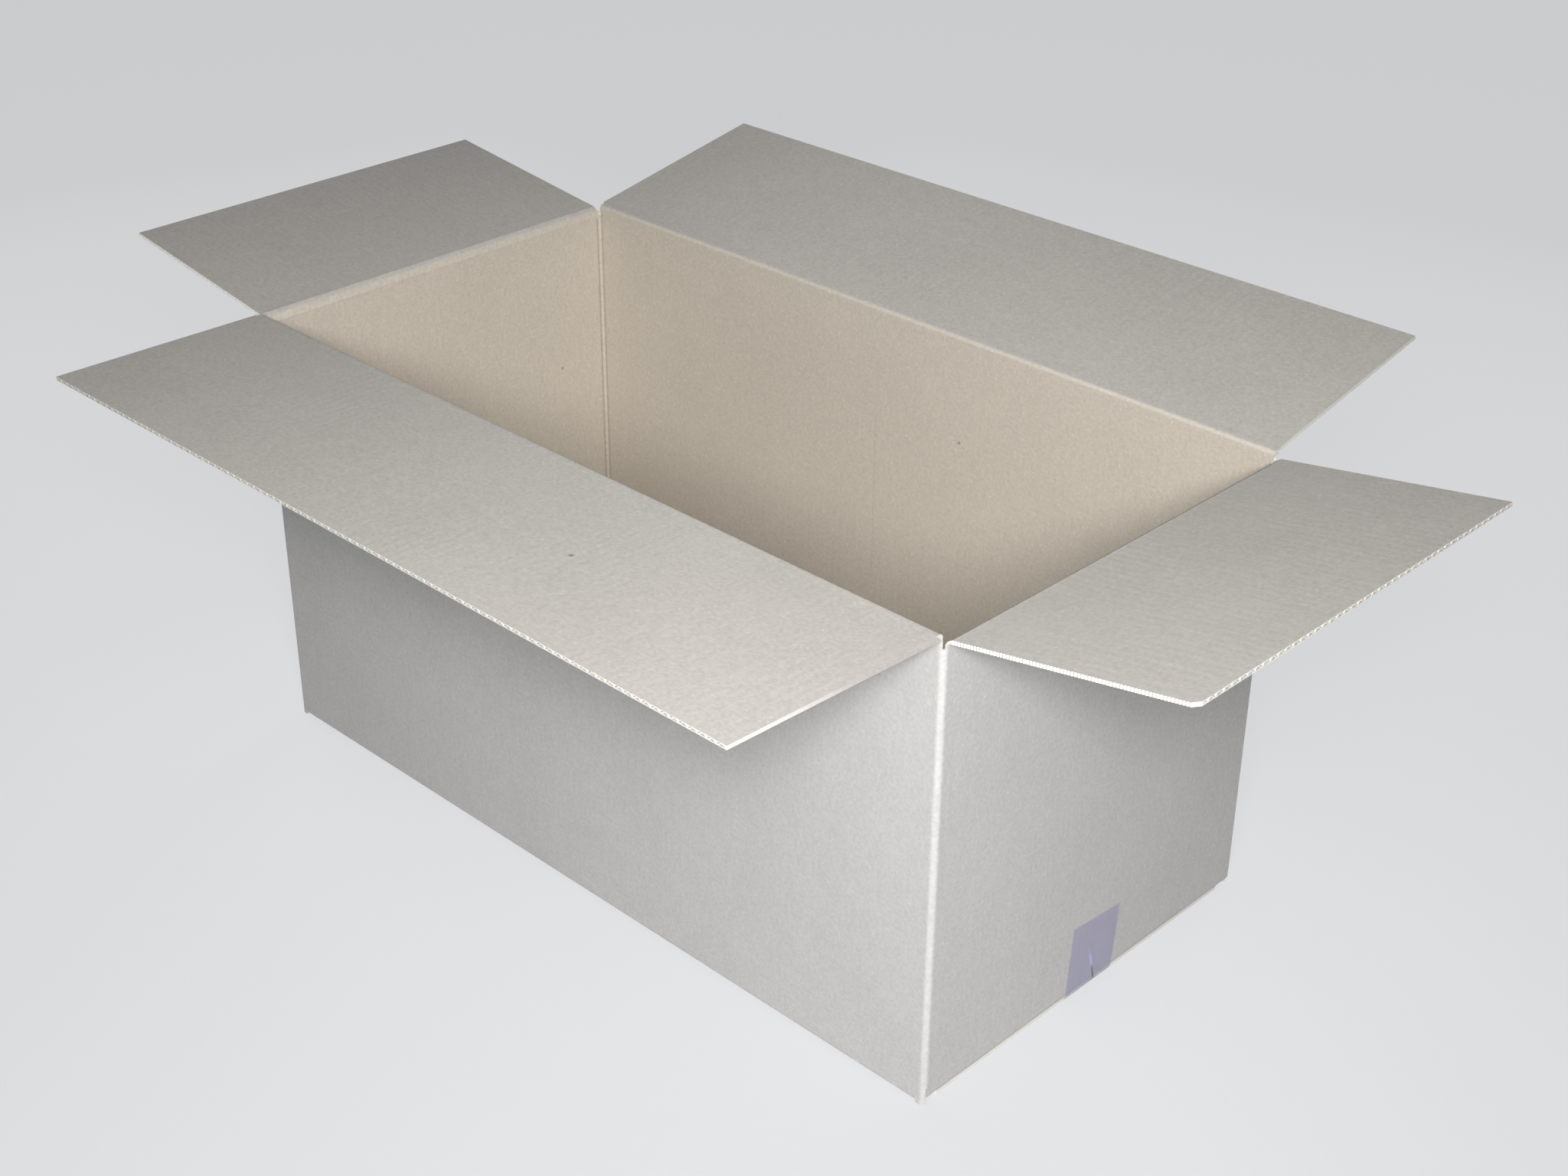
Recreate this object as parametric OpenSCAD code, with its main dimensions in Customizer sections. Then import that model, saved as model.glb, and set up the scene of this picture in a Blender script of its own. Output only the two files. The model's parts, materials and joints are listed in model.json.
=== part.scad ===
// Open slotted carton of single-wall corrugated board, bottom taped shut, four top flaps open.
// One sheet makes the four walls, the glue tab and the bottom flaps, and each top flap swings
// on its crease. Millimetres, +Z up. The origin is the centre of the base, on the surface that
// the carton stands on. X runs along the length, and the front wall faces -Y.

/* [Carton] */
// Clear length inside, between the end walls
inside_length = 600; // [400:10:800]
// Clear width inside, between the long walls
inside_width = 300; // [200:10:400]
// Clear height inside, from the bottom flaps to the closed end flaps
inside_height = 300; // [150:10:500]
// Thickness of the corrugated board
board = 2.5; // [2:0.5:5]
// Gap between two layers of board that lie on each other
layer_gap = 0.3; // [0.2:0.1:0.8]
// Gap along the middle, where two long flaps meet
seam_gap = 1; // [0.5:0.5:6]

/* [Folds] */
// Outside radius of a folded edge
fold_radius = 4; // [2:0.5:6]
// Leg of the bead that a fold squeezes up inside its corner
bead = 2.5; // [1:0.5:4]

/* [Corner slots] */
// What a slot takes off a long top flap at its crease
long_root_cut = 1.5; // [0.5:0.5:4]
// What a slot takes off a long top flap at its free edge
long_tip_cut = 3.5; // [0.5:0.5:12]
// Side gap of a closed end flap at its crease
end_root_gap = 0.6; // [0.4:0.2:3]
// Side gap of a closed end flap at its free edge
end_tip_gap = 3; // [1:0.5:10]
// Pitch of the marks that the toothed slot blade leaves on an end flap's sides
tooth_pitch = 2.1; // [1.5:0.1:5]
// Depth of those marks
tooth_depth = 0.5; // [0.2:0.1:1]
// Width of the slit where a slot runs down into a corner
slit_width = 1.3; // [0.6:0.1:3]
// Depth of that slit below the long crease
slit_depth = 6.5; // [3:0.5:12]
// What a slot takes off a long bottom flap at its crease
bottom_root_cut = 6; // [4:0.5:12]
// What a slot takes off a long bottom flap at its free edge
bottom_tip_cut = 2; // [1:0.5:8]
// Distance from the crease over which a long bottom flap widens
bottom_taper = 14; // [10:1:30]

/* [Glue joint] */
// Width of the glue tab inside the right wall
tab_width = 35; // [25:1:50]
// Height of the bevel on each end of the tab
tab_bevel = 14; // [5:1:30]
// Distance from the creases to the tab's ends
tab_end_gap = 8; // [6:1:20]

/* [Top flaps] */
// Rise of the front flap above level
front_tilt = 1.1; // [0:0.1:40]
// Rise of the right flap above level
right_tilt = 9.9; // [0:0.1:40]
// Rise of the back flap above level
back_tilt = 10.9; // [0:0.1:40]
// Rise of the left flap above level
left_tilt = 6.8; // [0:0.1:40]
// What wear has taken off the near corner of the right flap
worn_corner = 4; // [1:0.5:10]

/* [Corrugation] */
// Distance from one flute to the next
flute_pitch = 6.5; // [5:0.5:9]
// Thickness of each facing sheet
liner = 0.45; // [0.3:0.05:0.6]
// Thickness of the fluted sheet between them
medium = 0.4; // [0.3:0.05:0.6]
// Depth of the open flute ends along a flap's free edge
flute_depth = 2; // [1:0.5:20]

/* [Tape] */
// Width of the packing tape
tape_width = 46; // [36:1:75]
// Thickness of the packing tape
tape_thickness = 0.2; // [0.1:0.05:0.4]
// Length of tape on each end wall
tape_rise = 47; // [20:1:100]
// Lean of the tape on the right wall, towards the back
tape_lean = 5; // [0:0.5:10]
// Sideways shift of the tape from the seam
tape_shift = 1; // [-8:0.5:8]

/* [Hidden] */

board_colour = [0.80, 0.77, 0.73];
tape_colour = [0.66, 0.64, 0.65, 0.8];

// Half sizes inside and outside the walls
in_x = inside_length / 2;
in_y = inside_width / 2;
out_x = in_x + board;
out_y = in_y + board;

// Undersides of the long and the end bottom flaps, and the floor that goods stand on
long_foot = tape_thickness;
end_foot = long_foot + board + layer_gap;
floor_z = end_foot + board;
// Height at which the plain walls begin, above both folds
wall_foot = floor_z + fold_radius + bead;

// A crease's axis lies this far outside the wall and below the flap
axis_gap = layer_gap / 2;
// The mitred faces of a wall and its flap each stay this far from the crease's diagonal
mitre_gap = layer_gap * 2 / 3;
// Heights of the crease axes: a closed long flap lies one layer above the closed end flaps
end_crease = floor_z + inside_height + board + axis_gap;
long_crease = end_crease + board + layer_gap;

// All flaps are cut to one depth, at which the long ones meet along the middle
flap_reach = out_y + axis_gap - seam_gap / 2;
bottom_reach = out_y - seam_gap / 2;

// The end wall's raw edge stops here, beside the fold that carries the glue tab
joint_y = in_y - layer_gap;
// Where the tape turns up on to an end wall, clear of the rounded fold
tape_bend = end_foot + fold_radius / 2;

// Flute ends open by turns on one facing sheet and on the other
mouth_spacing = flute_pitch / 2;
// Half width of a flute end at its facing sheet, as a share of the spacing
flute_base = 0.64;
// The fluted sheet runs at a slant, so it takes up this much more room than its thickness
flute_slant = 1.4;

// Straight steps in a rounded fold
arc_steps = 6;
// How far a cutting shape runs past the face that it cuts
over = 1;

function arc(centre, radius, from, to) = [
    for (i = [0 : arc_steps])
        let (angle = from + (to - from) * i / arc_steps)
        centre + radius * [cos(angle), sin(angle)]
];

// Outside of the walls in plan, from the raw edge at the glue joint round to the tab's fold
function outer_path() = concat(
    [[out_x, joint_y]],
    arc([out_x - fold_radius, fold_radius - out_y], fold_radius, 0, -90),
    arc([fold_radius - out_x, fold_radius - out_y], fold_radius, -90, -180),
    arc([fold_radius - out_x, out_y - fold_radius], fold_radius, 180, 90),
    arc([in_x - board, in_y], board, 90, 0)
);

// Inside of the walls in plan, from the tab's fold back to the raw edge
function inner_path() = [[-in_x, in_y], [-in_x, -in_y], [in_x, -in_y], [in_x, joint_y]];

// Section of a wall's lower fold with its bottom flap: distance in from the outer face, height
function fold_section(foot, reach) = concat(
    [[0, wall_foot]],
    arc([fold_radius, foot + fold_radius], fold_radius, 180, 270),
    [
        [reach, foot],
        [reach, foot + board],
        [board + bead, foot + board],
        [board, foot + board + bead],
        [board, wall_foot]
    ]
);

// Outline of a flap in plan: half lengths at the crease and at the free edge
function flap_plan(root_left, root_right, tip_left, tip_right, from, to) = [
    [-root_left, from],
    [root_right, from],
    [tip_right, to],
    [-tip_left, to]
];

// One side of an end flap in plan, from the crease to the worn length of its free corner
function toothed_side(root, tip, worn) =
    let (length = flap_reach - worn, count = floor(length / tooth_pitch))
    concat(
        [
            for (i = [0 : count - 1], half = [0, 1])
                let (share = (i + half / 2) / count)
                [root + (tip - root) * share - half * tooth_depth, length * share]
        ],
        worn > 0 ? [[tip, length], [tip - worn, flap_reach]] : [[tip, flap_reach]]
    );

// Outline of an end flap in plan, with a worn corner on its right
function toothed_plan(root, tip, worn) =
    let (left = toothed_side(root, tip, 0))
    concat(
        toothed_side(root, tip, worn),
        [for (i = [len(left) - 1 : -1 : 0]) [-left[i].x, left[i].y]]
    );

// Stands a section of distance and height upright and runs it along X, centred
module along_x(length) {
    translate([-length / 2, 0, 0])
        rotate([90, 0, 90])
            linear_extrude(length)
                children();
}

// Each of these places a shape drawn for a wall that faces -Y, with its outer face at zero
module on_front() translate([0, -out_y, 0]) children();
module on_back() mirror([0, 1, 0]) on_front() children();
module on_right() translate([out_x, 0, 0]) rotate([0, 0, 90]) children();
module on_left() mirror([1, 0, 0]) on_right() children();

module wall_plan() polygon(concat(outer_path(), inner_path()));

// What the mitred rim takes off the top of a wall
module rim_cut(crease, length) {
    rim = crease - axis_gap - mitre_gap;
    top = long_crease + over;
    along_x(length)
        polygon([[-over, rim + over], [board + over, rim - board - over], [board + over, top], [-over, top]]);
}

// The slit that a slot leaves at the top of a folded corner
module corner_slit(x, y, turn) {
    translate([x, y, long_crease])
        rotate([0, 0, turn])
            cube([2 * (board + fold_radius), slit_width, 2 * slit_depth], center = true);
}

module walls() {
    difference() {
        translate([0, 0, wall_foot])
            linear_extrude(long_crease - axis_gap - mitre_gap - wall_foot)
                wall_plan();
        on_front() rim_cut(long_crease, 2 * (out_x + over));
        on_back() rim_cut(long_crease, 2 * (out_x + over));
        on_right() rim_cut(end_crease, inside_width);
        on_left() rim_cut(end_crease, inside_width);
        corner_slit(out_x, -out_y, -45);
        corner_slit(-out_x, -out_y, 45);
        corner_slit(-out_x, out_y, -45);
    }
}

// The bead along the inside of a folded corner, up to the closed end flaps
module corner_bead(x, y) {
    translate([x, y, wall_foot - over])
        linear_extrude(end_crease - 2 * board - wall_foot)
            polygon([[0, 0], [-sign(x) * bead, 0], [0, -sign(y) * bead]]);
}

// The lowest part of a long wall at its two corners, past the ends of its bottom flap
module corner_feet() {
    intersection() {
        translate([0, 0, long_foot])
            linear_extrude(wall_foot - long_foot)
                wall_plan();
        for (side_x = [-1, 1], side_y = [-1, 1])
            translate([side_x * out_x, side_y * out_y, wall_foot / 2])
                cube([2 * bottom_root_cut, 2 * board, wall_foot], center = true);
    }
}

module long_bottom_flap() {
    root = out_x - bottom_root_cut;
    tip = out_x - bottom_tip_cut;
    fold_end = board + bead;
    along_x(2 * root)
        polygon(fold_section(long_foot, fold_end + over));
    translate([0, 0, long_foot])
        linear_extrude(board)
            polygon([
                [-root, fold_end],
                [root, fold_end],
                [tip, bottom_taper],
                [tip, bottom_reach],
                [-tip, bottom_reach],
                [-tip, bottom_taper]
            ]);
}

module end_bottom_flap() {
    root = in_y - end_root_gap;
    tip = in_y - end_tip_gap;
    intersection() {
        along_x(2 * root)
            polygon(fold_section(end_foot, bottom_reach));
        linear_extrude(wall_foot)
            polygon(flap_plan(root, root, tip, tip, 0, bottom_reach));
    }
}

// The tab carries on from the back wall and is glued inside the right wall
module glue_tab() {
    low = floor_z + tab_end_gap;
    high = end_crease - board - tab_end_gap;
    translate([in_x - board, 0, 0])
        rotate([90, 0, 90])
            linear_extrude(board)
                polygon([
                    [in_y, low],
                    [in_y, high],
                    [in_y - tab_width, high - tab_bevel],
                    [in_y - tab_width, low + tab_bevel]
                ]);
}

module box_body() {
    color(board_colour) {
        walls();
        corner_feet();
        on_front() long_bottom_flap();
        on_back() long_bottom_flap();
        on_right() end_bottom_flap();
        on_left() end_bottom_flap();
        glue_tab();
        corner_bead(in_x, -in_y);
        corner_bead(-in_x, -in_y);
        corner_bead(-in_x, in_y);
    }
}

// One open flute end, wide at the facing sheet that it lies on
module flute_mouth(upside_down) {
    wide = flute_base * mouth_spacing;
    narrow = mouth_spacing - wide - medium * flute_slant;
    height = board - 2 * liner - medium;
    base = upside_down ? board - liner : liner;
    crest = upside_down ? base - height : base + height;
    polygon([[-wide, base], [wide, base], [narrow, crest], [-narrow, crest]]);
}

// The row of open flute ends along a free edge, from one end of the flap to the other
module flute_row(left, right) {
    count = floor((left + right) / mouth_spacing) - 1;
    first = (right - left - (count - 1) * mouth_spacing) / 2;
    for (i = [0 : count - 1])
        translate([first + i * mouth_spacing, 0])
            flute_mouth(i % 2 == 1);
}

// A top flap in its crease's own frame: axis along X, flap along +Y, outer face underneath.
// It takes its outline in plan and the half lengths of its row of flute ends.
module top_flap(plan, row_left, row_right) {
    start = axis_gap + mitre_gap;
    difference() {
        intersection() {
            along_x(2 * (out_x + over))
                polygon([
                    [start, axis_gap],
                    [flap_reach, axis_gap],
                    [flap_reach, axis_gap + board],
                    [start + board, axis_gap + board]
                ]);
            linear_extrude(2 * board)
                polygon(plan);
        }
        translate([0, flap_reach + over, axis_gap])
            rotate([90, 0, 0])
                linear_extrude(flute_depth + over)
                    flute_row(row_left, row_right);
    }
}

// Lays a flap on its crease: place of the axis, heading of the flap and its rise above level
module on_crease(place, heading, tilt) {
    translate(place)
        rotate([0, 0, heading])
            rotate([tilt, 0, 0])
                children();
}

module long_flap(joint_cut) {
    root = out_x - long_root_cut;
    tip = out_x - long_tip_cut;
    joint_root = root - joint_cut;
    joint_tip = min(tip, joint_root);
    top_flap(flap_plan(root, joint_root, tip, joint_tip, 0, flap_reach), tip, joint_tip);
}

module end_flap(worn) {
    root = in_y - end_root_gap;
    tip = in_y - end_tip_gap;
    top_flap(toothed_plan(root, tip, worn), tip, tip - worn);
}

module front_flap() {
    color(board_colour)
        on_crease([0, -out_y - axis_gap, long_crease], 180, front_tilt)
            long_flap(0);
}

// The back flap ends one board short at the glue joint, as the back wall does
module back_flap() {
    color(board_colour)
        on_crease([0, out_y + axis_gap, long_crease], 0, back_tilt)
            long_flap(board);
}

module left_flap() {
    color(board_colour)
        on_crease([-out_x - axis_gap, 0, end_crease], 90, left_tilt)
            end_flap(0);
}

module right_flap() {
    color(board_colour)
        on_crease([out_x + axis_gap, 0, end_crease], -90, right_tilt)
            end_flap(worn_corner);
}

// The part of the tape on an end wall, drawn in the wall's plane
module tape_end(lean) {
    half = tape_width / 2;
    top_y = tape_shift + tape_rise * tan(lean);
    top_z = tape_bend + tape_rise;
    rotate([90, 0, 90])
        linear_extrude(tape_thickness)
            polygon([
                [tape_shift - half, tape_bend],
                [tape_shift + half, tape_bend],
                [top_y + half * cos(lean), top_z - half * sin(lean)],
                [top_y - half * cos(lean), top_z + half * sin(lean)]
            ]);
}

// The tape runs along the seam, over the ends of the long flaps and up both end walls
module bottom_tape() {
    edge = out_x - bottom_tip_cut;
    color(tape_colour) {
        translate([0, tape_shift + tape_width / 2, 0])
            rotate([90, 0, 0])
                linear_extrude(tape_width)
                    polygon([
                        [-out_x - tape_thickness, tape_bend],
                        [-edge - tape_thickness, 0],
                        [edge + tape_thickness, 0],
                        [out_x + tape_thickness, tape_bend],
                        [out_x, tape_bend],
                        [edge, tape_thickness],
                        [-edge, tape_thickness],
                        [-out_x, tape_bend]
                    ]);
        translate([out_x, 0, 0])
            tape_end(tape_lean);
        translate([-out_x - tape_thickness, 0, 0])
            tape_end(0);
    }
}

box_body();
front_flap();
back_flap();
left_flap();
right_flap();
bottom_tape();
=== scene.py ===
"""Looks of the open carton: board, creases and tape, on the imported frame."""

import json
import math
from typing import NamedTuple

import bmesh
import bpy
from mathutils import Matrix, Vector


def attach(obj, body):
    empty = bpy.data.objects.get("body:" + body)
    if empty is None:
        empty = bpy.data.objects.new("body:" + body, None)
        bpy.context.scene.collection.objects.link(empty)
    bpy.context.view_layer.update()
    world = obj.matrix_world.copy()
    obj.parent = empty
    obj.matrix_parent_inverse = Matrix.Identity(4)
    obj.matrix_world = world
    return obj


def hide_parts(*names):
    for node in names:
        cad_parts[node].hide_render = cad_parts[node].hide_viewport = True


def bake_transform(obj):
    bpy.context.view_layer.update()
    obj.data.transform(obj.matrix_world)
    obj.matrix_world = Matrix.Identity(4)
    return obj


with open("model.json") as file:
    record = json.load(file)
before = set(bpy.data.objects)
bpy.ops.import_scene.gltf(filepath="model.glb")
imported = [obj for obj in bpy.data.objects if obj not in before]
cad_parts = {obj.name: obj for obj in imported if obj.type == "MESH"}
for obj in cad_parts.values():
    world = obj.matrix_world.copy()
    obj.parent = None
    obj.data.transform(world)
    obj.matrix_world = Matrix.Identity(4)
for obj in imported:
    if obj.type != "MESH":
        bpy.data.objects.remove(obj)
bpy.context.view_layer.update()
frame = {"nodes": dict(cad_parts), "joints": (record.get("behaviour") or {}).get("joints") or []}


class Span(NamedTuple):
    """Two ends of a soft step."""
    low: float
    high: float


class Noise(NamedTuple):
    """A cloudy pattern: its features in a metre, its octaves and how strong the small ones are."""
    scale: float
    detail: float
    roughness: float


class Dots(NamedTuple):
    """Scattered dots: cells in a metre, the colour channel that picks cells, the level above which a
    cell holds a dot, and the dot's soft rim as shares of a cell."""
    scale: float
    channel: int
    level: float
    rim: Span


class Mark(NamedTuple):
    """A small dark mark on the board."""
    place: tuple
    radius: float


class Crease(NamedTuple):
    """The creases of one pair of flaps. Tilts are each flap's rise in degrees at rest. A bulge of 1 is
    a fully round fold, and a crisp fold is shaded apart from the flat liner on both sides of it."""
    label: str
    along_x: bool
    tilts: dict
    half_length: float
    bulge: float
    crisp: bool
    # How much lighter the fold is painted: a painted highlight
    painted_highlight: float


class Lamp(NamedTuple):
    """A soft rectangular lamp, in metres and watts, with its beam's whole angle in degrees."""
    name: str
    place: tuple
    target: tuple
    size: tuple
    power: float
    colour: tuple
    beam: float


def srgb(red, green, blue):
    """Linear colour of an 8-bit screen colour."""
    def linear(value):
        share = value / 255
        if share <= 0.04045:
            return share / 12.92
        return ((share + 0.055) / 1.055) ** 2.4
    return (linear(red), linear(green), linear(blue), 1.0)


# Sizes repeated from the part's source, in metres
IN_X = 0.300
IN_Y = 0.150
BOARD = 0.0025
OUT_X = IN_X + BOARD
OUT_Y = IN_Y + BOARD
AXIS_GAP = 0.00015
MITRE_START = 0.00035
FLUTE_PITCH = 0.0065
BEAD = 0.0025
LONG_BOTTOM_FLAP_TOP = 0.00285
INNER_FLOOR_Z = 0.0055
RIM_Z = 0.300
TAB_END_Y = 0.112
OUTWARD = {"front": (0, -1, 0), "back": (0, 1, 0), "left": (-1, 0, 0), "right": (1, 0, 0)}
UP = Vector((0, 0, 1))

# Liner over a crease
PAPER = 0.00007
PAPER_LIFT = 0.00003
PAPER_EDGE = 0.00001
PAPER_REACH = 0.0015
FOLD_STEPS = 10
CREASE_STEPS = 24
FOLD_BLEND = 1.437
LONG_CREASE = Crease(
    label="long",
    along_x=True,
    tilts={"front": 1.1, "back": 10.9},
    half_length=0.2992,
    bulge=1.0,
    crisp=False,
    painted_highlight=0.07,
)
END_CREASE = Crease(
    label="end",
    along_x=False,
    tilts={"left": 6.8, "right": 9.9},
    half_length=0.1490,
    bulge=0.45,
    crisp=True,
    painted_highlight=0.0,
)

# Packing tape, with its bend round the lower fold as points in X and Z
TAPE_WIDTH = 0.046
TAPE_SHIFT = 0.001
TAPE_RISE = 0.047
TAPE_LEAN = math.radians(5)
TAPE_LIFT = 0.00015
TAPE_BEND_Z = 0.0050
TAPE_BEND = [(0.3022, 0.0027), (0.3006, 0.0009), (0.2999, 0.0001)]
TAPE_SEAM_HALF = 0.29
TAPE_SEAM_Z = 0.00005
TAPE_COLUMNS = 46
TAPE_END_STEPS = 16
TAPE_SEAM_STEPS = 30
PUCKER_FOOT = Vector((0.0055, 0.004))
PUCKER_SLOPE = -0.22
PUCKER_TOP = 0.030
PUCKER_FADE = 0.018
PUCKER_HEIGHT = 0.0007
PUCKER_WIDTH = 0.0011

# Colours
OUTER_LINER = srgb(196, 195, 194)
INNER_LINER = srgb(214, 206, 194)
# The flaps' tops are the same inner liner as the walls: the next colour is a copy of it with the flaps'
# light painted in
FLAP_LIGHT_TINTED_LINER = srgb(209, 205, 199)
# Cut edges are painted paler than the liners: a painted highlight of edges that face the light
HIGHLIGHTED_CUT_EDGE = srgb(238, 236, 230)
TAPE_FILM = srgb(178, 175, 216)
FLOOR_COLOUR = srgb(238, 239, 241)
FLOOR_BOUNCE = srgb(218, 219, 221)
FLOOR_SEEN = srgb(124, 125, 127)
FLOOR_GLOW = 0.66
HORIZON = (0.585, 0.59, 0.60, 1.0)
SKY_LIGHT = (0.076, 0.083, 0.090, 1.0)

# Patterns of the paper, and how much each lightens the colour and raises the surface
CLOUD = Noise(14.0, 3.0, 0.55)
MOTTLE = Noise(120.0, 3.0, 0.6)
GRAIN = Noise(420.0, 2.0, 0.6)
FIBRES = Noise(1.0, 3.0, 0.65)
FIBRES_ACROSS = 260.0
FIBRES_ALONG = 1100.0
SPECKS = Dots(70.0, 0, 0.72, Span(0.012, 0.05))
FLECKS = Dots(240.0, 1, 0.8, Span(0.08, 0.24))
NOISE_MIDDLE = 0.5
CLOUD_SHADE = 0.10
MOTTLE_SHADE = 0.13
GRAIN_SHADE = 0.36
FIBRE_SHADE = 0.19
# The flute ridges are also painted lighter and darker: painted shade of their relief
RIDGE_PAINTED_SHADE = 0.016
SPECK_SHADE = -0.16
FLECK_SHADE = 0.15
MOTTLE_HEIGHT = 0.35
GRAIN_HEIGHT = 0.50
FIBRE_HEIGHT = 0.30
RIDGE_HEIGHT = 0.55
PAPER_BUMP = 0.0001
PAPER_ROUGHNESS = 0.82
PAPER_SPECULAR = 0.28

# Ridges that the flutes press through the liner, in patches: a bump, and painted shade and highlight in the
# colour
RIDGE_WANDER = Noise(22.0, 1.0, 0.5)
RIDGE_WANDER_TURN = 2.2
RIDGE_PATCHES = Noise(9.0, 2.0, 0.5)
RIDGE_PATCH_STEP = Span(0.35, 0.68)
RIDGE_LEAST = 0.35
FLAP_RIDGES = 0.45
WALL_RIDGES = 0.3
CREASE_RIDGES = 0.4

# Cut edges. A side pressed by handling is dull from the crease on and darkened there with painted shade,
# and pale only near its tip
EDGE_MARGIN = 0.0001
EDGE_NOISE = Noise(600.0, 3.0, 0.6)
EDGE_LEVEL = 0.90
EDGE_SHADE = 0.16
PRESSED_SIDE = Span(0.05, 0.135)
PRESSED_MOST = 0.95
PRESSED_PAINTED_SHADE = -0.18

# Wear and painted highlight of the folded corners, and a painted shade line inside them, in metres from the
# corner's outer line, the base and that line
WEAR = Noise(90.0, 3.0, 0.5)
WEAR_STEP = Span(0.25, 0.6)
WEAR_LEAST = 0.55
CORNER_RUB_AND_HIGHLIGHT = Span(0.0018, 0.0036)
FOOT_RUB_AND_HIGHLIGHT = Span(0.0012, 0.0058)
FOOT_RUB_AND_HIGHLIGHT_SHARE = 0.6
RUB_AND_HIGHLIGHT_SHADE = 0.16
# A dark line inside the folded corner, where the fold meets the walls: painted shade
PAINTED_SHADE_LINE = Span(0.0003, 0.0009)
PAINTED_SHADE_REACH = 1.6 * BEAD
PAINTED_SHADE_DEPTH = -0.30

# Small marks, and a faint line that one flute has pressed into the inner back wall
WALL_MARKS = (Mark((0.058, 0.150, 0.2375), 0.0016), Mark((-0.300, 0.1072, 0.1936), 0.0014))
FRONT_FLAP_MARKS = (Mark((0.1038, -0.2306, 0.3151), 0.0022),)
MARK_CORE = 0.35
MARK_SHADE = -0.45
LINE_X = -0.0175
LINE_WIDTH = Span(0.0003, 0.0010)
LINE_START = Span(0.104, 0.124)
LINE_END = Span(0.225, 0.245)
LINE_SHADE = -0.07

# Painted highlights along a crease, broken up; the same pattern also raises a bump
CREASE_BREAKS = Noise(160.0, 4.0, 0.6)
CREASE_BREAK_STEP = Span(0.32, 0.62)
CREASE_BREAK_LEAST = 0.5
CREASE_BREAK_HEIGHT = 0.3

# The tape's film: streaks along it, a painted shade line and a painted highlight at the pucker, clearer
# borders
STREAKS = Noise(1.0, 2.0, 0.5)
STREAK_STRETCH = (20.0, 160.0, 20.0)
STREAK_SHADE = 0.12
STREAK_BUMP = 0.0003
STREAK_BUMP_STRENGTH = 0.5
FILM_CLOUD = Noise(60.0, 2.0, 0.5)
FILM_CLOUD_SHADE = 0.10
FILM_SHADE_LINE_WIDTH = Span(0.0003, 0.0009)
FILM_SHADE_LINE_TOP = Span(0.012, 0.018)
FILM_PAINTED_SHADE = -0.75
FILM_HIGHLIGHT_WIDTH = Span(0.0006, 0.0020)
FILM_HIGHLIGHT_START = Span(0.012, 0.017)
FILM_HIGHLIGHT_END = Span(0.022, 0.032)
FILM_PAINTED_HIGHLIGHT = 0.30
FILM_BORDER = Span(0.0, 0.0022)
FILM_BORDER_NOISE = Noise(350.0, 2.0, 0.5)
FILM_BORDER_WAVER = 0.0012
FILM_BORDER_ALPHA = 0.16
FILM_ALPHA = 0.38
FILM_PUCKER_ALPHA = 0.35
FILM_ROUGHNESS = 0.32
FILM_SPECULAR = 0.45

# Shares of a unit normal that tell which way a face looks
FACING = 0.6
SQUARE_ON = 0.9
UPRIGHT = 0.3
DOWNWARD = -0.5
ASIDE = 0.5

# Floor
FLOOR_HALF = 20
FLOOR_DROP = 0.0002
FLOOR_ROUGHNESS = 0.9
FLOOR_CLOUD = Noise(3.0, 2.0, 0.5)
FLOOR_CLOUD_SHADE = 0.03

# Lamps: a key beside the camera, a high soft lamp, and weak fills for the sides that those leave dark
WARM = (1.0, 0.985, 0.96)
WHITE = (1.0, 0.99, 0.98)
LAMPS = (
    Lamp("key", (1.0, -0.985, 0.965), (0.15, -0.1, 0.2), (0.4, 0.4), 8.2, WARM, 110),
    Lamp("high", (0.9, -0.9, 1.6), (0.0, 0.0, 0.25), (0.8, 0.8), 5.0, WHITE, 180),
    Lamp("left_fill", (-1.6, 0.38, 0.22), (-0.3, 0.05, 0.18), (1.0, 0.3), 1.2, WHITE, 50),
    Lamp("back_fill", (-0.35, 1.5, 0.22), (-0.05, 0.15, 0.18), (1.2, 0.3), 1.3, WHITE, 50),
    Lamp("inner_fill", (-0.5, 0.9, 0.95), (0.05, -0.12, 0.2), (0.3, 0.3), 0.12, WHITE, 40),
)

# Camera fitted to the photograph
CAMERA_PLACE = Vector((0.9526, -0.9421, 0.9118))
CAMERA_HEADING = math.radians(44.068)
CAMERA_DOWN = math.radians(29.214)
CAMERA_ROLL = math.radians(0.420)
CAMERA_CLIP = Span(0.05, 100)
FOCAL_PIXELS = 3029.4
PICTURE_WIDTH = 2048
SENSOR_WIDTH = 36.0

# Sockets of a Mix node that mixes colours
MIX_SHARE = 0
MIX_FIRST = 6
MIX_SECOND = 7
MIX_RESULT = 2


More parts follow.
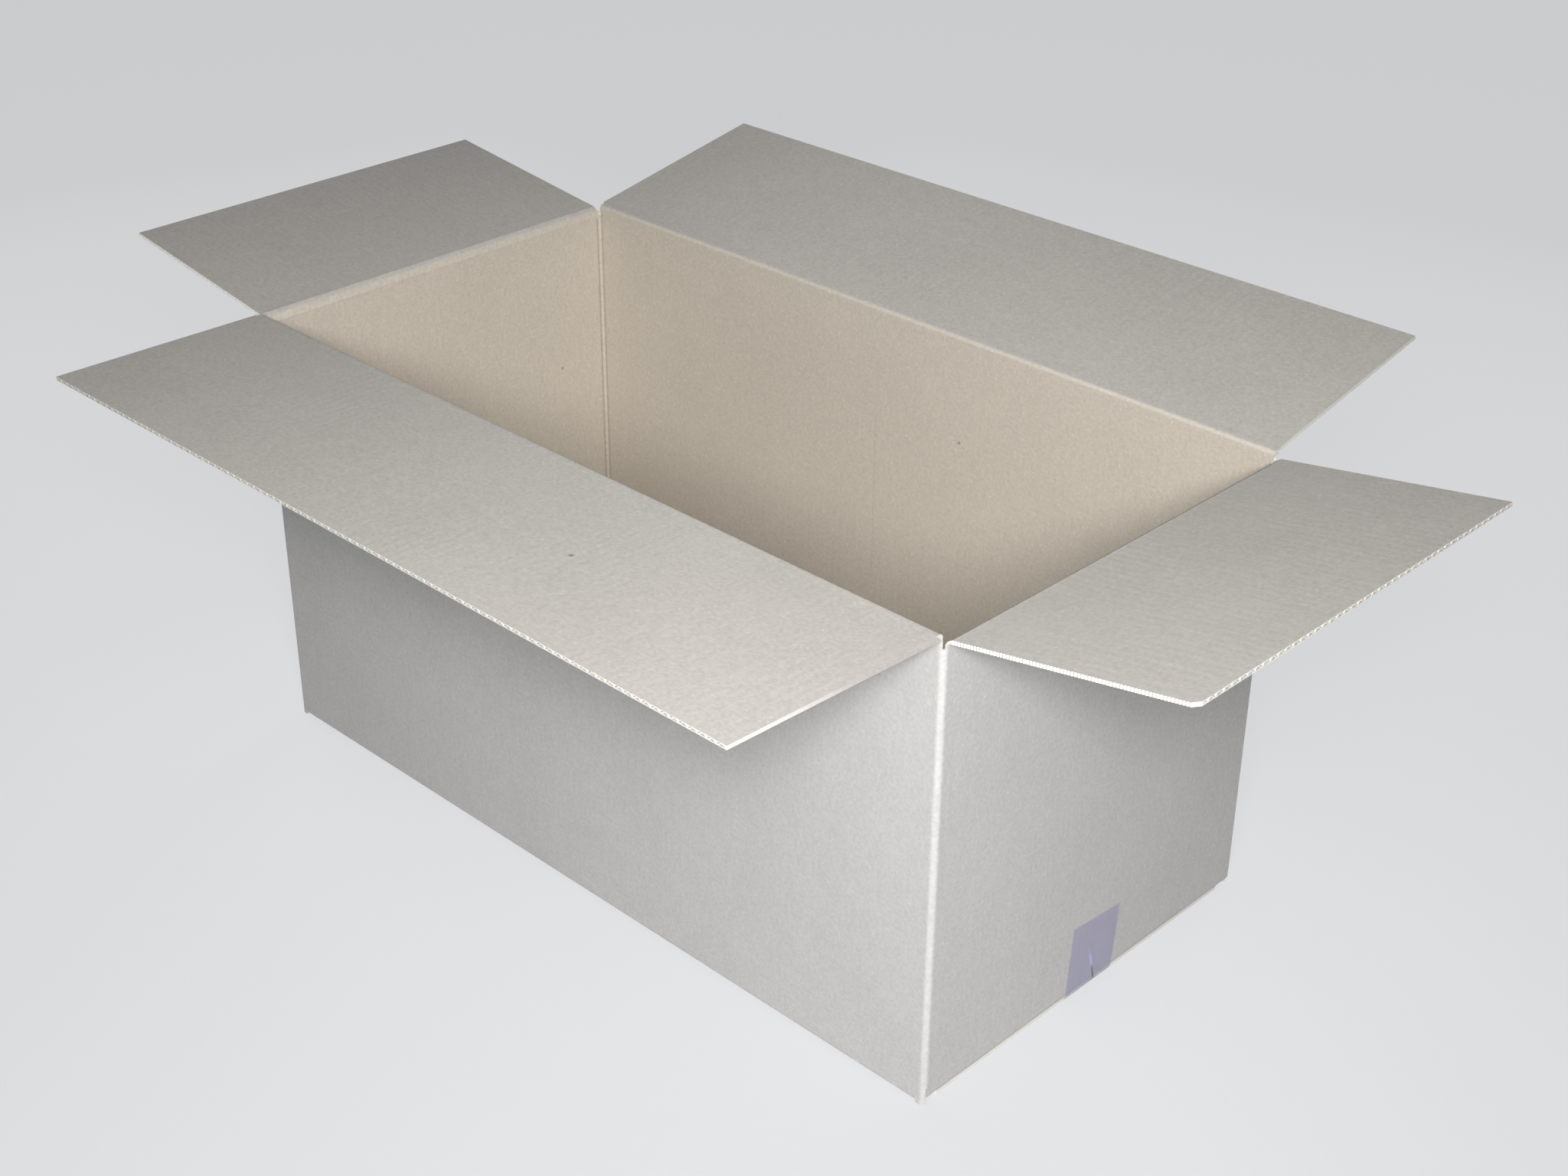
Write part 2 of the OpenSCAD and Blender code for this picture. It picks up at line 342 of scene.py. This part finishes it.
class Graph:
    """The node tree of a material or a world, built with short calls."""

    def __init__(self, owner):
        owner.use_nodes = True
        self.owner = owner
        self.nodes = owner.node_tree.nodes
        self.links = owner.node_tree.links

    def add(self, kind, inputs=(), **settings):
        node = self.nodes.new(kind)
        for name, value in settings.items():
            setattr(node, name, value)
        for key, value in dict(inputs).items():
            self.feed(node.inputs[key], value)
        return node

    def feed(self, socket, value):
        if isinstance(value, bpy.types.NodeSocket):
            self.links.new(value, socket)
        else:
            socket.default_value = value

    def surface(self, name, value):
        """Sets one input of the material's own shader."""
        self.feed(self.nodes["Principled BSDF"].inputs[name], value)

    def math(self, operation, a, b=0.0, c=0.0):
        return self.add("ShaderNodeMath", {0: a, 1: b, 2: c}, operation=operation).outputs[0]

    def times(self, value, factor):
        return self.math("MULTIPLY", value, factor)

    def plus(self, base, amount, weight):
        return self.math("MULTIPLY_ADD", amount, weight, base)

    def minus(self, a, b):
        return self.math("SUBTRACT", a, b)

    def opposite(self, share):
        return self.minus(1.0, share)

    def absolute(self, value):
        return self.math("ABSOLUTE", value)

    def above(self, value, limit):
        return self.math("GREATER_THAN", value, limit)

    def below(self, value, limit):
        return self.math("LESS_THAN", value, limit)

    def both(self, first, *others):
        """The product of shares, which is 1 only where all of them are."""
        for other in others:
            first = self.times(first, other)
        return first

    def either(self, a, b):
        return self.math("MAXIMUM", a, b)

    def choose(self, share, a, b):
        """Number a where the share is 0 and number b where it is 1."""
        return self.plus(a, share, self.minus(b, a))

    def ramp(self, value, span, to_low, to_high):
        """A smooth step from to_low at the span's low end to to_high at its high end."""
        inputs = {
            "Value": value,
            "From Min": span.low,
            "From Max": span.high,
            "To Min": to_low,
            "To Max": to_high,
        }
        return self.add("ShaderNodeMapRange", inputs, interpolation_type="SMOOTHSTEP").outputs[0]

    def rise(self, value, span):
        return self.ramp(value, span, 0.0, 1.0)

    def fall(self, value, span):
        return self.ramp(value, span, 1.0, 0.0)

    def split(self, vector):
        return self.add("ShaderNodeSeparateXYZ", {0: vector}).outputs

    def join(self, x, y, z):
        return self.add("ShaderNodeCombineXYZ", {0: x, 1: y, 2: z}).outputs[0]

    def stretch(self, vector, factors):
        return self.add("ShaderNodeVectorMath", {0: vector, 1: factors}, operation="MULTIPLY").outputs[0]

    def far_from(self, vector, point):
        node = self.add("ShaderNodeVectorMath", {0: vector, 1: point}, operation="DISTANCE")
        return node.outputs["Value"]

    def attribute(self, name):
        return self.add("ShaderNodeAttribute", attribute_name=name).outputs["Fac"]

    def blend(self, share, a, b):
        """Colour a where the share is 0 and colour b where it is 1."""
        inputs = {MIX_SHARE: share, MIX_FIRST: a, MIX_SECOND: b}
        return self.add("ShaderNodeMix", inputs, data_type="RGBA").outputs[MIX_RESULT]

    def shade(self, colour, factor):
        """A colour made lighter or darker by a factor."""
        base = colour if isinstance(colour, bpy.types.NodeSocket) else colour[:3]
        node = self.add("ShaderNodeVectorMath", {0: base}, operation="SCALE")
        self.feed(node.inputs["Scale"], factor)
        return node.outputs[0]

    def noise(self, vector, kind):
        inputs = {
            "Vector": vector,
            "Scale": kind.scale,
            "Detail": kind.detail,
            "Roughness": kind.roughness,
        }
        return self.add("ShaderNodeTexNoise", inputs).outputs["Fac"]

    def uneven(self, base, vector, kind, weight):
        """A number that a noise lifts and lowers evenly."""
        return self.plus(base, self.minus(self.noise(vector, kind), NOISE_MIDDLE), weight)

    def dots(self, vector, kind):
        cells = self.add("ShaderNodeTexVoronoi", {"Vector": vector, "Scale": kind.scale, "Randomness": 1.0})
        chosen = self.above(self.split(cells.outputs["Color"])[kind.channel], kind.level)
        return self.both(self.fall(cells.outputs["Distance"], kind.rim), chosen)

    def bump(self, height, distance, strength):
        inputs = {"Strength": strength, "Distance": distance, "Height": height}
        self.surface("Normal", self.add("ShaderNodeBump", inputs).outputs["Normal"])


def material_graph(name):
    return Graph(bpy.data.materials.new(name))


def coordinates(graph):
    """Place and normal of a point on the piece as it stands at rest."""
    source = graph.add("ShaderNodeTexCoord")
    return source.outputs["Object"], source.outputs["Normal"]


def flute_ridges(graph, place, across, share):
    """Waves at the flutes' pitch that wander a little and come and go in patches."""
    wander = graph.times(graph.noise(place, RIDGE_WANDER), RIDGE_WANDER_TURN)
    wave = graph.math("SINE", graph.plus(wander, across, 2 * math.pi / FLUTE_PITCH))
    patches = graph.ramp(graph.noise(place, RIDGE_PATCHES), RIDGE_PATCH_STEP, RIDGE_LEAST, 1.0)
    return graph.times(graph.times(wave, patches), share)


def paper_detail(graph, place, across, along, ridge_share):
    """Mottling, grain, fibres, specks and flute ridges of a liner: a shade and a bump height."""
    mottle = graph.noise(place, MOTTLE)
    grain = graph.noise(place, GRAIN)
    fibre_place = graph.join(graph.times(across, FIBRES_ACROSS), graph.times(along, FIBRES_ALONG), 0.0)
    fibres = graph.noise(fibre_place, FIBRES)
    ridges = flute_ridges(graph, place, across, ridge_share)

    shade = graph.uneven(1.0, place, CLOUD, CLOUD_SHADE)
    for pattern, weight in ((mottle, MOTTLE_SHADE), (grain, GRAIN_SHADE), (fibres, FIBRE_SHADE)):
        shade = graph.plus(shade, graph.minus(pattern, NOISE_MIDDLE), weight)
    # Painted shade and highlight of the flute ridges
    shade = graph.plus(shade, ridges, RIDGE_PAINTED_SHADE)
    shade = graph.plus(shade, graph.dots(place, SPECKS), SPECK_SHADE)
    shade = graph.plus(shade, graph.dots(place, FLECKS), FLECK_SHADE)

    height = graph.times(ridges, RIDGE_HEIGHT)
    for pattern, weight in ((mottle, MOTTLE_HEIGHT), (grain, GRAIN_HEIGHT), (fibres, FIBRE_HEIGHT)):
        height = graph.plus(height, pattern, weight)
    return shade, height


def cut_edge(graph, place):
    """Colour of a cut edge: paler than the liners, a painted highlight of edges that face the light, and
    unevenly bright.
    """
    return graph.shade(HIGHLIGHTED_CUT_EDGE, graph.plus(EDGE_LEVEL, graph.noise(place, EDGE_NOISE), EDGE_SHADE))


def add_marks(graph, shade, place, marks):
    for mark in marks:
        rim = Span(MARK_CORE * mark.radius, mark.radius)
        shade = graph.plus(shade, graph.fall(graph.far_from(place, mark.place), rim), MARK_SHADE)
    return shade


def finish_paper(graph, colour, height):
    graph.surface("Base Color", colour)
    graph.surface("Roughness", PAPER_ROUGHNESS)
    graph.surface("Specular IOR Level", PAPER_SPECULAR)
    graph.bump(height, PAPER_BUMP, 1.0)
    return graph.owner


def flap_material(name, long_flap, pressed_shaded_sides=False, marks=()):
    """Board of a top flap: inner liner on top, outer liner underneath, cut edges around."""
    graph = material_graph(name)
    place, normal = coordinates(graph)
    x, y, _ = graph.split(place)
    up = graph.split(normal)[2]
    across, along = (x, y) if long_flap else (y, x)
    shade, height = paper_detail(graph, place, across, along, FLAP_RIDGES)
    shade = add_marks(graph, shade, place, marks)
    cut = graph.below(graph.absolute(up), SQUARE_ON)
    # The front flap's sides are dull where pressed, and darkened there with painted shade
    if pressed_shaded_sides:
        from_crease = graph.minus(graph.absolute(y), OUT_Y)
        pressed = graph.both(cut, graph.ramp(from_crease, PRESSED_SIDE, PRESSED_MOST, 0.0))
        shade = graph.plus(shade, pressed, PRESSED_PAINTED_SHADE)
        cut = graph.minus(cut, pressed)
    # The top takes the copy of the inner liner with the flaps' light painted in
    liner = graph.blend(graph.above(up, 0.0), OUTER_LINER, FLAP_LIGHT_TINTED_LINER)
    colour = graph.blend(cut, graph.shade(liner, shade), cut_edge(graph, place))
    return finish_paper(graph, colour, height)


def corner_wear_highlight_and_shade(graph, shade, place, outer):
    """Outside, a folded corner and the foot are lighter: partly worn by rubbing, partly a painted highlight
    of the rounded folds. Inside, a dark line is painted where shade falls beside the fold.
    """
    x, y, z = graph.split(place)
    far_x = graph.absolute(x)
    far_y = graph.absolute(y)
    worn = graph.ramp(graph.noise(place, WEAR), WEAR_STEP, WEAR_LEAST, 1.0)
    corner = graph.far_from(graph.join(far_x, far_y, 0.0), (OUT_X, OUT_Y, 0.0))
    # Lighter band on the rounded corner and along the foot: partly rubbing wear, partly painted highlight
    rub_and_highlight = graph.both(graph.fall(corner, CORNER_RUB_AND_HIGHLIGHT), worn)
    foot = graph.times(graph.both(graph.fall(z, FOOT_RUB_AND_HIGHLIGHT), worn), FOOT_RUB_AND_HIGHLIGHT_SHARE)
    shade = graph.plus(shade, graph.both(graph.either(rub_and_highlight, foot), outer), RUB_AND_HIGHLIGHT_SHADE)

    room_x = graph.minus(IN_X, far_x)
    room_y = graph.minus(IN_Y, far_y)
    off_line_x = graph.absolute(graph.minus(room_x, BEAD))
    off_line_y = graph.absolute(graph.minus(room_y, BEAD))
    off_line = graph.math("MINIMUM", off_line_x, off_line_y)
    near_corner = graph.below(graph.math("ADD", room_x, room_y), PAINTED_SHADE_REACH)
    # Painted shade in the inner corner, beside the fold
    painted_crevice_shade = graph.both(graph.fall(off_line, PAINTED_SHADE_LINE), near_corner, graph.opposite(outer))
    return graph.plus(shade, painted_crevice_shade, PAINTED_SHADE_DEPTH)


def pressed_line(graph, shade, place, outer):
    """One flute has pressed a faint line into the inner back wall."""
    x, y, z = graph.split(place)
    line = graph.both(
        graph.fall(graph.absolute(graph.minus(x, LINE_X)), LINE_WIDTH),
        graph.above(y, IN_Y / 2),
        graph.rise(z, LINE_START),
        graph.fall(z, LINE_END),
        graph.opposite(outer),
    )
    return graph.plus(shade, line, LINE_SHADE)


def wall_cuts(graph, place, normal, outer):
    """1 at the cut edges: the bottom flaps' ends and tips, the tab's end and the mitred rim."""
    x, y, z = graph.split(place)
    normal_x, _, normal_z = graph.split(normal)
    upright = graph.below(graph.absolute(normal_z), UPRIGHT)
    low = graph.below(z, INNER_FLOOR_Z - EDGE_MARGIN)
    bottom_flaps = graph.both(upright, low, graph.opposite(outer))
    tab_end = graph.both(
        graph.above(y, TAB_END_Y),
        graph.above(x, IN_X - BOARD - EDGE_MARGIN),
        graph.below(x, IN_X - EDGE_MARGIN),
        graph.below(graph.absolute(normal_x), ASIDE),
    )
    rim = graph.both(graph.above(z, RIM_Z), graph.above(normal_z, FACING))
    return graph.either(graph.either(bottom_flaps, tab_end), rim)


def wall_material(name, marks):
    """Board of the folded body: outer liner, inner liner, folds and cut edges."""
    graph = material_graph(name)
    place, normal = coordinates(graph)
    x, y, z = graph.split(place)
    normal_x, _, normal_z = graph.split(normal)
    far_x = graph.absolute(x)
    far_y = graph.absolute(y)

    # The flutes stand upright in the walls and run on across the bottom flaps
    end_wall = graph.above(graph.absolute(normal_x), FACING)
    level = graph.above(graph.absolute(normal_z), FACING)
    end_flap = graph.both(level, graph.above(far_x, IN_X / 2), graph.above(z, LONG_BOTTOM_FLAP_TOP))
    across = graph.choose(graph.either(end_wall, end_flap), x, y)
    along = graph.choose(end_flap, graph.choose(level, z, y), x)
    shade, height = paper_detail(graph, place, across, along, WALL_RIDGES)

    past_x = graph.above(far_x, IN_X + BOARD / 2)
    past_y = graph.above(far_y, IN_Y + BOARD / 2)
    outer = graph.either(graph.either(past_x, past_y), graph.below(normal_z, DOWNWARD))
    shade = corner_wear_highlight_and_shade(graph, shade, place, outer)
    shade = add_marks(graph, shade, place, marks)
    shade = pressed_line(graph, shade, place, outer)
    liner = graph.shade(graph.blend(outer, INNER_LINER, OUTER_LINER), shade)
    colour = graph.blend(wall_cuts(graph, place, normal, outer), liner, cut_edge(graph, place))
    return finish_paper(graph, colour, height)


def crease_material(name, wall_liner, flap_liner, painted_highlight, along_x):
    """Liner over a crease: a painted highlight along the fold, broken up."""
    graph = material_graph(name)
    place, normal = coordinates(graph)
    run = 0 if along_x else 1
    spot = graph.split(place)
    shade, height = paper_detail(graph, place, spot[run], spot[2], CREASE_RIDGES)
    broken = graph.ramp(graph.noise(place, CREASE_BREAKS), CREASE_BREAK_STEP, CREASE_BREAK_LEAST, 1.0)
    # Painted highlight along the fold
    shade = graph.plus(shade, graph.both(graph.attribute("fold"), broken), painted_highlight)
    height = graph.plus(height, broken, CREASE_BREAK_HEIGHT)
    # From the wall's colour to the flap's, which for the inner liner is a copy with the flaps' light
    # painted in
    liner = graph.shade(graph.blend(graph.attribute("flapward"), wall_liner, flap_liner), shade)
    end = graph.above(graph.absolute(graph.split(normal)[run]), SQUARE_ON)
    return finish_paper(graph, graph.blend(end, liner, cut_edge(graph, place)), height)


def tape_material(name):
    """Clear film with faint streaks, and the painted shade and highlight of a pucker low on the right wall.
    """
    graph = material_graph(name)
    place, _ = coordinates(graph)
    x, y, z = graph.split(place)
    line = graph.plus(PUCKER_FOOT.x, graph.minus(z, PUCKER_FOOT.y), PUCKER_SLOPE)
    off_line = graph.absolute(graph.minus(y, line))
    right_end = graph.above(x, IN_X)
    # Painted shade along the pucker's fold
    pucker_painted_shade = graph.both(
        graph.fall(off_line, FILM_SHADE_LINE_WIDTH),
        graph.fall(z, FILM_SHADE_LINE_TOP),
        right_end,
    )
    # Painted highlight beside the pucker's fold
    ridge = graph.both(
        graph.fall(off_line, FILM_HIGHLIGHT_WIDTH),
        graph.rise(z, FILM_HIGHLIGHT_START),
        graph.fall(z, FILM_HIGHLIGHT_END),
        right_end,
    )
    streaks = graph.noise(graph.stretch(place, STREAK_STRETCH), STREAKS)
    shade = graph.plus(1.0, graph.minus(streaks, NOISE_MIDDLE), STREAK_SHADE)
    shade = graph.uneven(shade, place, FILM_CLOUD, FILM_CLOUD_SHADE)
    shade = graph.plus(shade, pucker_painted_shade, FILM_PAINTED_SHADE)
    shade = graph.plus(shade, ridge, FILM_PAINTED_HIGHLIGHT)
    border = graph.plus(graph.attribute("inset"), graph.noise(place, FILM_BORDER_NOISE), FILM_BORDER_WAVER)
    alpha = graph.ramp(border, FILM_BORDER, FILM_BORDER_ALPHA, FILM_ALPHA)
    # The film is made more opaque where the pucker's shade and highlight are painted
    alpha = graph.plus(alpha, graph.either(pucker_painted_shade, ridge), FILM_PUCKER_ALPHA)
    graph.surface("Base Color", graph.shade(TAPE_FILM, shade))
    graph.surface("Roughness", FILM_ROUGHNESS)
    graph.surface("Specular IOR Level", FILM_SPECULAR)
    graph.surface("Alpha", alpha)
    graph.bump(streaks, STREAK_BUMP, STREAK_BUMP_STRENGTH)
    return graph.owner


def new_object(name, bm, material):
    bmesh.ops.recalc_face_normals(bm, faces=bm.faces)
    mesh = bpy.data.meshes.new(name)
    bm.to_mesh(mesh)
    bm.free()
    mesh.materials.append(material)
    made = bpy.data.objects.new(name, mesh)
    bpy.context.scene.collection.objects.link(made)
    return made


def crease_piece(name, section, folds, turns, smooth_sides, half_length, to_world, material):
    """A closed outline across the crease, run along it. folds and turns say how far each of its
    points is bent and how far it has turned from the wall to the flap. smooth_sides are the sides
    of the outline that make one smooth surface."""
    bm = bmesh.new()
    fold = bm.verts.layers.float.new("fold")
    flapward = bm.verts.layers.float.new("flapward")
    rings = []
    for k in range(CREASE_STEPS + 1):
        s = half_length * (2 * k / CREASE_STEPS - 1)
        ring = []
        for point, bent, turned in zip(section, folds, turns):
            vert = bm.verts.new(to_world(s, point))
            vert[fold] = bent
            vert[flapward] = turned
            ring.append(vert)
        rings.append(ring)
    size = len(section)
    for first, second in zip(rings, rings[1:]):
        for i in range(size):
            j = (i + 1) % size
            face = bm.faces.new((first[i], first[j], second[j], second[i]))
            face.smooth = i in smooth_sides
    bm.faces.new(rings[0])
    bm.faces.new(rings[-1][::-1])
    for edge in bm.edges:
        edge.smooth = all(face.smooth for face in edge.link_faces)
    return new_object(name, bm, material)


class FoldFrame:
    """Places at one crease: a distance along it, and points outward and up from its axis."""

    def __init__(self, side, tilt, joint):
        self.axis = Vector(joint["pos_m"])
        self.outward = Vector(OUTWARD[side])
        self.run = UP.cross(self.outward)
        self.lean = math.radians(tilt)
        self.turn = Matrix.Rotation(self.lean, 2)

    def to_world(self, s, point):
        return self.axis + self.run * s + self.outward * point.x + UP * point.y

    def on_flap(self, along, above):
        """A point given along the flap from the axis and above its underside."""
        return self.turn @ Vector((along, above))


def inner_fold(side, fold, crease, material):
    """The liner inside leaves the wall, rounds the fold about its axis and lies on the flap."""
    middle = math.pi / 4 + fold.lean / 2
    mitre = Vector((math.cos(middle), math.sin(middle)))
    off_mitre = Vector((-mitre.y, mitre.x))

    def flatten(point):
        return point - (1 - crease.bulge) * point.dot(off_mitre) * off_mitre

    face = AXIS_GAP + BOARD + PAPER_LIFT
    radius = face + PAPER
    root = MITRE_START + BOARD
    tip = root + PAPER_REACH
    last = math.pi / 2 + fold.lean
    shares = [k / FOLD_STEPS for k in range(FOLD_STEPS + 1)]
    angles = [math.pi + (last - math.pi) * share for share in shares]
    arc = [flatten(radius * Vector((math.cos(angle), math.sin(angle)))) for angle in angles]
    wall_side = [Vector((-face - PAPER_EDGE, -tip)), Vector((-radius, -root))]
    flap_side = [fold.on_flap(root, radius), fold.on_flap(tip, face + PAPER_EDGE)]
    under_flap = [fold.on_flap(tip, face), fold.on_flap(root, face)]
    under_wall = [Vector((0, 0)), Vector((-face, -root)), Vector((-face, -tip))]
    top = wall_side + arc + flap_side
    section = top + under_flap + under_wall
    bends = [math.sin(math.pi * share) for share in shares]
    folds = [0.0] * len(wall_side) + bends + [0.0] * len(flap_side + under_flap + under_wall)
    turns = [0.0] * len(wall_side) + shares + [1.0] * len(flap_side + under_flap) + [0.0] * len(under_wall)
    top_sides = range(len(top) - 1)
    smooth_sides = top_sides[1:-1] if crease.crisp else top_sides
    inner = crease_piece(
        f"{side}_crease_inner", section, folds, turns, smooth_sides,
        crease.half_length, fold.to_world, material)
    reach = FOLD_BLEND * radius * math.sqrt(2) * mitre
    fold.to_world(0, -reach)
    fold.to_world(0, reach)
    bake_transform(inner)


def outer_strip(side, fold, crease, material):
    """A thin strip of liner outside bridges the hollow of the fold."""
    sink = AXIS_GAP - PAPER_LIFT
    tip = MITRE_START + PAPER_REACH
    begin = Vector((-sink, -MITRE_START))
    end = fold.on_flap(MITRE_START, sink)
    skin = PAPER * Vector((1, -1)).normalized()
    board_side = [fold.on_flap(tip, sink), end, begin, begin - Vector((0, PAPER_REACH))]
    out_side = [
        begin + Vector((PAPER, -PAPER_REACH)),
        begin + skin,
        end + skin,
        fold.on_flap(tip, sink - PAPER),
    ]
    section = board_side + out_side
    flat = [0.0] * len(section)
    outer = crease_piece(
        f"{side}_crease_outer", section, flat, flat, (),
        crease.half_length, fold.to_world, material)
    fold.to_world(0, begin)
    fold.to_world(0, end)
    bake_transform(outer)


def make_creases(crease):
    """The liner over a pair of creases, inside and outside."""
    name = f"{crease.label}_crease"
    inner = crease_material(f"{name}_inner_paper", INNER_LINER, FLAP_LIGHT_TINTED_LINER, crease.painted_highlight, crease.along_x)
    outer = crease_material(f"{name}_outer_paper", OUTER_LINER, OUTER_LINER, 0.0, crease.along_x)
    joints = {joint["child"]: joint for joint in frame["joints"]}
    for side, tilt in crease.tilts.items():
        fold = FoldFrame(side, tilt, joints[side])
        inner_fold(side, fold, crease, inner)
        outer_strip(side, fold, crease, outer)


def tape_path():
    """Points along the middle of the tape, from its left end to its right end, in X and Z."""
    wall_x = OUT_X + TAPE_LIFT
    steps = range(TAPE_END_STEPS)
    end = [(wall_x, TAPE_BEND_Z + TAPE_RISE * (1 - k / TAPE_END_STEPS)) for k in steps]
    right = end + [(wall_x, TAPE_BEND_Z)] + TAPE_BEND
    left = [(-x, z) for x, z in right]
    seam_shares = [2 * k / TAPE_SEAM_STEPS - 1 for k in range(TAPE_SEAM_STEPS + 1)]
    seam = [(TAPE_SEAM_HALF * share, TAPE_SEAM_Z) for share in seam_shares]
    return left + seam + right[::-1]


def make_tape(material):
    """The tape as a thin film with a pucker, in place of its plain solid."""
    bm = bmesh.new()
    inset = bm.verts.layers.float.new("inset")
    rows = []
    for x, path_z in tape_path():
        rise = max(0.0, path_z - TAPE_BEND_Z)
        lean = TAPE_LEAN if x > 0 else 0.0
        row = []
        for k in range(TAPE_COLUMNS + 1):
            v = TAPE_WIDTH * (k / TAPE_COLUMNS - 0.5)
            y = TAPE_SHIFT + v + rise * math.tan(lean)
            z = path_z - rise / TAPE_RISE * v * math.sin(lean)
            vert = bm.verts.new((x, y, z))
            vert[inset] = min(TAPE_WIDTH / 2 - abs(v), TAPE_RISE - rise)
            row.append(vert)
        rows.append(row)
    for first, second in zip(rows, rows[1:]):
        for k in range(TAPE_COLUMNS):
            face = bm.faces.new((first[k], first[k + 1], second[k + 1], second[k]))
            face.smooth = True
    for vert in bm.verts:
        if vert.co.x > OUT_X:
            centre = PUCKER_FOOT.x + PUCKER_SLOPE * (vert.co.z - PUCKER_FOOT.y)
            ridge = math.exp(-((vert.co.y - centre) / PUCKER_WIDTH) ** 2)
            fade = max(0.0, min(1.0, (PUCKER_TOP - vert.co.z) / PUCKER_FADE))
            vert.co.x += PUCKER_HEIGHT * ridge * fade
    film = new_object("tape_film", bm, material)
    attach(film, "box")
    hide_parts("bottom_tape")


def dress(node, material):
    slots = frame["nodes"][node].data.materials
    slots.clear()
    slots.append(material)


def make_floor():
    """A plain pale floor. A part of its brightness is its own, for the camera and for reflections,
    and the rest is lit, so that it keeps the object's shadow."""
    graph = material_graph("pale_floor")
    place, _ = coordinates(graph)
    rays = graph.add("ShaderNodeLightPath").outputs
    seen = graph.either(rays["Is Glossy Ray"], rays["Is Transmission Ray"])
    seen = graph.either(seen, rays["Is Camera Ray"])
    shade = graph.uneven(1.0, place, FLOOR_CLOUD, FLOOR_CLOUD_SHADE)
    graph.surface("Base Color", graph.shade(graph.blend(seen, FLOOR_BOUNCE, FLOOR_SEEN), shade))
    graph.surface("Roughness", FLOOR_ROUGHNESS)
    graph.surface("Emission Color", FLOOR_COLOUR)
    graph.surface("Emission Strength", graph.times(seen, FLOOR_GLOW))
    bm = bmesh.new()
    bmesh.ops.create_grid(bm, x_segments=1, y_segments=1, size=FLOOR_HALF)
    floor = new_object("floor", bm, graph.owner)
    floor.location = (0, 0, -FLOOR_DROP)


def make_world():
    """A weak even sky, which the camera sees as a pale backdrop."""
    graph = Graph(bpy.data.worlds.new("studio"))
    rays = graph.add("ShaderNodeLightPath").outputs
    sky = graph.blend(rays["Is Camera Ray"], SKY_LIGHT, HORIZON)
    graph.feed(graph.nodes["Background"].inputs["Color"], sky)
    bpy.context.scene.world = graph.owner


def add_lamp(lamp):
    data = bpy.data.lights.new(lamp.name, "AREA")
    data.shape = "RECTANGLE"
    data.size, data.size_y = lamp.size
    data.energy = lamp.power
    data.color = lamp.colour
    data.spread = math.radians(lamp.beam)
    light = bpy.data.objects.new(lamp.name, data)
    light.location = lamp.place
    light.rotation_mode = "QUATERNION"
    light.rotation_quaternion = (Vector(lamp.target) - Vector(lamp.place)).to_track_quat("-Z", "Y")
    light.visible_camera = False
    bpy.context.scene.collection.objects.link(light)


def make_camera():
    data = bpy.data.cameras.new("photo_camera")
    data.sensor_fit = "HORIZONTAL"
    data.sensor_width = SENSOR_WIDTH
    data.lens = FOCAL_PIXELS / PICTURE_WIDTH * SENSOR_WIDTH
    data.clip_start, data.clip_end = CAMERA_CLIP
    camera = bpy.data.objects.new("photo_camera", data)
    camera.location = CAMERA_PLACE
    heading = Matrix.Rotation(CAMERA_HEADING, 4, "Z")
    pitch = Matrix.Rotation(math.pi / 2 - CAMERA_DOWN, 4, "X")
    roll = Matrix.Rotation(CAMERA_ROLL, 4, "Z")
    camera.rotation_euler = (heading @ pitch @ roll).to_euler()
    bpy.context.scene.collection.objects.link(camera)
    bpy.context.scene.camera = camera


end_board = flap_material("end_flap_board", long_flap=False)
dress("box_body", wall_material("folded_board", WALL_MARKS))
dress("front_flap", flap_material("front_flap_board", True, pressed_shaded_sides=True, marks=FRONT_FLAP_MARKS))
dress("back_flap", flap_material("back_flap_board", long_flap=True))
dress("left_flap", end_board)
dress("right_flap", end_board)
make_creases(LONG_CREASE)
make_creases(END_CREASE)
make_tape(tape_material("packing_tape_film"))
make_floor()
make_world()
for lamp in LAMPS:
    add_lamp(lamp)
make_camera()
bpy.context.scene.view_settings.view_transform = "Standard"
